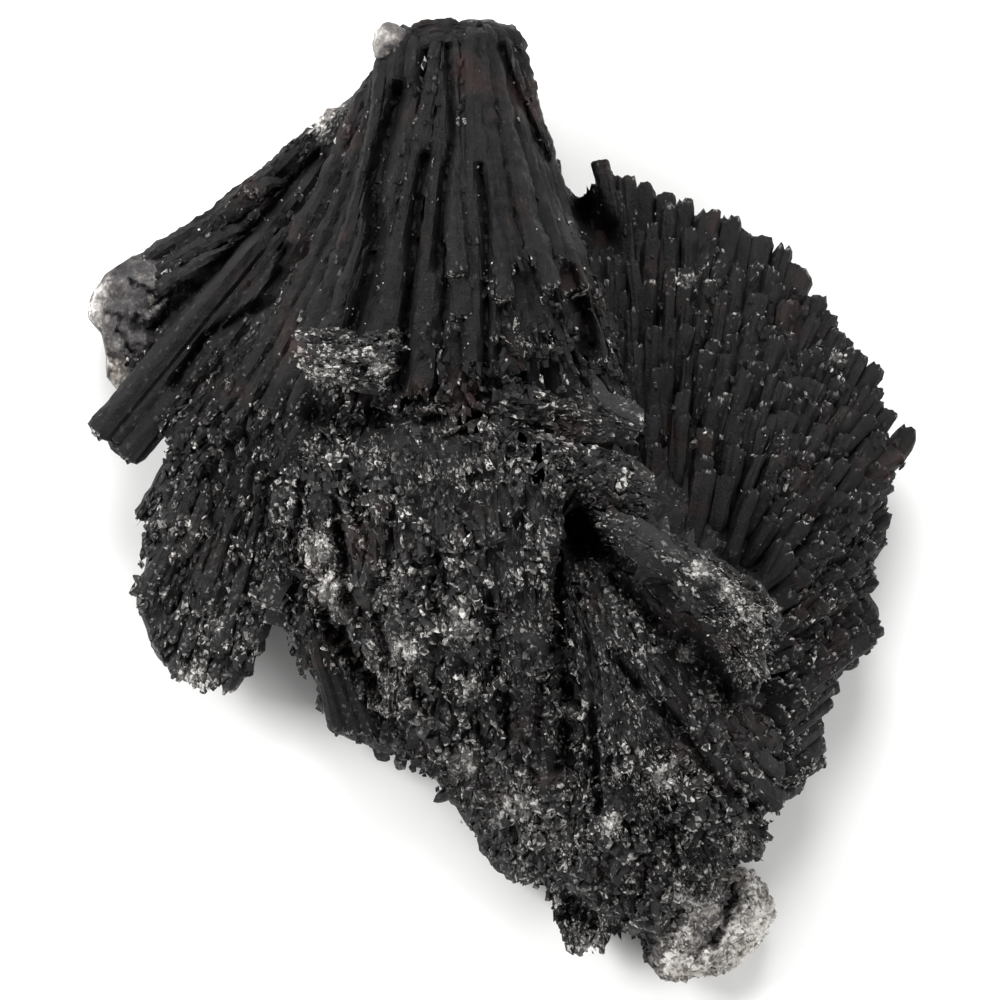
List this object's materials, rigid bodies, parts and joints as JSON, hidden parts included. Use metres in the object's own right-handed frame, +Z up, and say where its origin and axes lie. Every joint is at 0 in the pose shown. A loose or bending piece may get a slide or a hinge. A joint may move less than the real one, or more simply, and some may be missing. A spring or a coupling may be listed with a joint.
{
  "type": "black kyanite specimen",
  "caption": "Natural cluster of flat black kyanite blades grown together in fans, with pale matrix still attached, lying on its broken back.",
  "frame": {"origin": "on the flat broken base that the specimen rests on, under its middle", "axes": "+Z up off the surface it lies on, +Y along its length towards the narrow broken handle of the upper fan, +X towards the shingled fan"},
  "size_m": [0.0821, 0.0964, 0.0376],
  "materials": {
    "black_kyanite": "near-black, striated blades with a dull vitreous to pearly sheen and small bright mica glints",
    "pale_matrix": "rough, pale grey to white mica and quartz with grey and warm brown stains"
  },
  "bodies": {
    "root": {"kyanite_fans": "black_kyanite", "left_matrix_lump": "pale_matrix", "lower_matrix_lump": "pale_matrix"}
  },
  "joints": []
}
